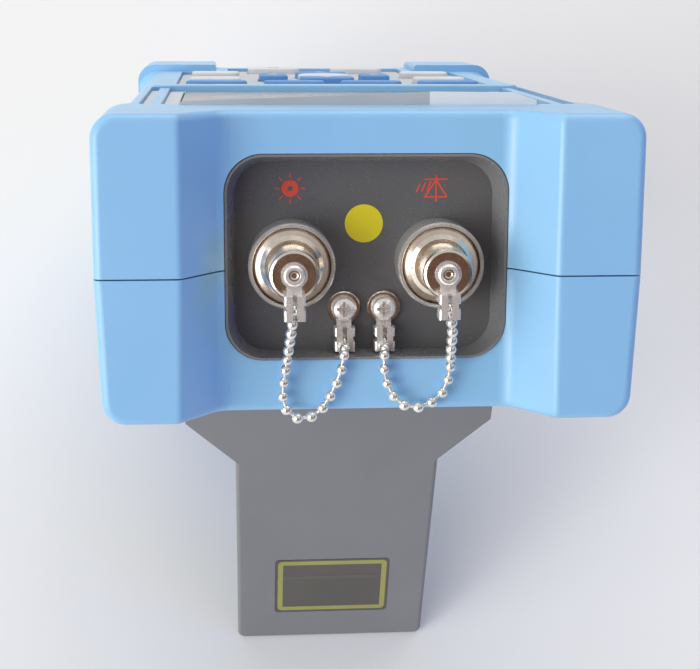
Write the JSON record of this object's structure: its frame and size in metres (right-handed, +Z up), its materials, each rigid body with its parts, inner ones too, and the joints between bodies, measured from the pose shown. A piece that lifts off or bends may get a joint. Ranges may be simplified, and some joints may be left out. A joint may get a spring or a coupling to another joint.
{
  "type": "optical time domain reflectometer",
  "caption": "Hand-held fibre tester leaning on its open stand: blue moulded case, display and keypad in front, capped fibre ports on chains at the connector end.",
  "frame": {"origin": "centre of the leaning instrument's bounding box, on the surface it stands on", "axes": "+X to the right as the user reads the screen, the shortest extent; +Y away from the user, the way the connector end leans; +Z up"},
  "size_m": [0.11, 0.1992, 0.1975],
  "materials": {
    "blue_shell": "fine satin moulding",
    "grey_stand": "fine texture",
    "dark_label": "printed film",
    "dark_panel": "matt",
    "pale_grey_trim": "satin",
    "display_glass": "clear, dark behind",
    "clear_film": "clear plastic film",
    "keypad_grey": "satin",
    "grey_rubber": "matt",
    "blue_key": "matt",
    "pale_key": "matt",
    "green_board": "solder mask",
    "sheet_metal": "plain",
    "battery_wrap": "shrink wrap",
    "steel": "plated",
    "black_plastic": "matt",
    "blue_rubber": "matt",
    "chrome": "polished plating",
    "white_ceramic": "ceramic",
    "black_rubber": "matt",
    "nickel": "plated",
    "brass": "turned"
  },
  "bodies": {
    "case": {"anchor_screws": "steel", "back_shell": "blue_shell", "battery_door": "blue_shell", "battery_pack": "battery_wrap", "case_screws": "steel", "connector_panel": "dark_panel", "data_socket": "steel", "display_bezel": "pale_grey_trim", "display_window": "display_glass", "door_screws": "steel", "front_shell": "blue_shell", "hinge_pins": "steel", "keypad_mat": "grey_rubber", "keypad_plate": "keypad_grey", "laser_adapter": "chrome", "laser_anchor_clasp": "nickel", "laser_anchor_post": "brass", "laser_chain": "nickel", "laser_collar": "chrome", "laser_sleeve": "white_ceramic", "lcd_module": "sheet_metal", "main_board": "green_board", "optical_module": "sheet_metal", "port_board": "green_board", "port_frame": "dark_panel", "power_jack": "black_plastic", "screen_film": "clear_film", "test_adapter": "chrome", "test_anchor_clasp": "nickel", "test_anchor_post": "brass", "test_chain": "nickel", "test_collar": "chrome", "test_sleeve": "white_ceramic", "trim_strips": "pale_grey_trim"},
    "stand": {"stand": "grey_stand", "stand_label": "dark_label"},
    "side_cover": {"side_cover": "blue_rubber"},
    "back_key": {"back_key": "pale_key"},
    "down_key": {"down_key": "blue_key"},
    "enter_key": {"enter_key": "pale_key"},
    "file_key": {"file_key": "pale_key"},
    "function_key_1": {"function_key_1": "blue_key"},
    "function_key_2": {"function_key_2": "blue_key"},
    "function_key_3": {"function_key_3": "blue_key"},
    "function_key_4": {"function_key_4": "blue_key"},
    "laser_key": {"laser_key": "pale_key"},
    "left_key": {"left_key": "blue_key"},
    "menu_key": {"menu_key": "pale_key"},
    "power_key": {"power_key": "pale_key"},
    "right_key": {"right_key": "blue_key"},
    "test_key": {"test_key": "pale_key"},
    "up_key": {"up_key": "blue_key"},
    "test_clasp": {"test_cap_clasp": "nickel"},
    "test_cap": {"test_cap": "chrome", "test_gasket": "black_rubber", "test_rivet": "nickel"},
    "laser_clasp": {"laser_cap_clasp": "nickel"},
    "laser_cap": {"laser_cap": "chrome", "laser_gasket": "black_rubber", "laser_rivet": "nickel"}
  },
  "joints": [
    {"name": "stand_hinge", "type": "hinge", "parent": "case", "child": "stand", "pos_m": [0, 0.04531, 0.10215], "axis": [1, 0, 0], "range_deg": [-64.3, 0]},
    {"name": "side_cover_hinge", "type": "hinge", "parent": "case", "child": "side_cover", "pos_m": [0.0504, -0.00021, 0.07416], "axis": [0, 0.7084, 0.7058], "range_deg": [0, 100]},
    {"name": "back_key_press", "type": "slide", "parent": "case", "child": "back_key", "axis": [0, 0.7058, -0.7084], "range_m": [0, 0.001], "stiffness_N_per_m": 800},
    {"name": "down_key_press", "type": "slide", "parent": "case", "child": "down_key", "axis": [0, 0.7058, -0.7084], "range_m": [0, 0.001], "stiffness_N_per_m": 800},
    {"name": "enter_key_press", "type": "slide", "parent": "case", "child": "enter_key", "axis": [0, 0.7058, -0.7084], "range_m": [0, 0.001], "stiffness_N_per_m": 800},
    {"name": "file_key_press", "type": "slide", "parent": "case", "child": "file_key", "axis": [0, 0.7058, -0.7084], "range_m": [0, 0.001], "stiffness_N_per_m": 800},
    {"name": "function_key_1_press", "type": "slide", "parent": "case", "child": "function_key_1", "axis": [0, 0.7058, -0.7084], "range_m": [0, 0.001], "stiffness_N_per_m": 800},
    {"name": "function_key_2_press", "type": "slide", "parent": "case", "child": "function_key_2", "axis": [0, 0.7058, -0.7084], "range_m": [0, 0.001], "stiffness_N_per_m": 800},
    {"name": "function_key_3_press", "type": "slide", "parent": "case", "child": "function_key_3", "axis": [0, 0.7058, -0.7084], "range_m": [0, 0.001], "stiffness_N_per_m": 800},
    {"name": "function_key_4_press", "type": "slide", "parent": "case", "child": "function_key_4", "axis": [0, 0.7058, -0.7084], "range_m": [0, 0.001], "stiffness_N_per_m": 800},
    {"name": "laser_key_press", "type": "slide", "parent": "case", "child": "laser_key", "axis": [0, 0.7058, -0.7084], "range_m": [0, 0.001], "stiffness_N_per_m": 800},
    {"name": "left_key_press", "type": "slide", "parent": "case", "child": "left_key", "axis": [0, 0.7058, -0.7084], "range_m": [0, 0.001], "stiffness_N_per_m": 800},
    {"name": "menu_key_press", "type": "slide", "parent": "case", "child": "menu_key", "axis": [0, 0.7058, -0.7084], "range_m": [0, 0.001], "stiffness_N_per_m": 800},
    {"name": "power_key_press", "type": "slide", "parent": "case", "child": "power_key", "axis": [0, 0.7058, -0.7084], "range_m": [0, 0.001], "stiffness_N_per_m": 800},
    {"name": "right_key_press", "type": "slide", "parent": "case", "child": "right_key", "axis": [0, 0.7058, -0.7084], "range_m": [0, 0.001], "stiffness_N_per_m": 800},
    {"name": "test_key_press", "type": "slide", "parent": "case", "child": "test_key", "axis": [0, 0.7058, -0.7084], "range_m": [0, 0.001], "stiffness_N_per_m": 800},
    {"name": "up_key_press", "type": "slide", "parent": "case", "child": "up_key", "axis": [0, 0.7058, -0.7084], "range_m": [0, 0.001], "stiffness_N_per_m": 800},
    {"name": "test_cap_travel", "type": "slide", "parent": "case", "child": "test_clasp", "axis": [0, 0.7084, 0.7058], "range_m": [0, 0.0075], "deforming": ["test_chain"]},
    {"name": "test_cap_turn", "type": "hinge", "parent": "test_clasp", "child": "test_cap", "pos_m": [-0.0154, 0.07945, 0.17584], "axis": [0, 0.7084, 0.7058], "range_deg": [0, 3600]},
    {"name": "laser_cap_travel", "type": "slide", "parent": "case", "child": "laser_clasp", "axis": [0, 0.7084, 0.7058], "range_m": [0, 0.0075], "deforming": ["laser_chain"]},
    {"name": "laser_cap_turn", "type": "hinge", "parent": "laser_clasp", "child": "laser_cap", "pos_m": [0.0154, 0.07945, 0.17584], "axis": [0, 0.7084, 0.7058], "range_deg": [0, 3600]}
  ],
  "couplings": [
    {"joint": "test_cap_travel", "follows": "test_cap_turn", "m_per_rad": 0.00011937},
    {"joint": "laser_cap_travel", "follows": "laser_cap_turn", "m_per_rad": 0.00011937}
  ]
}
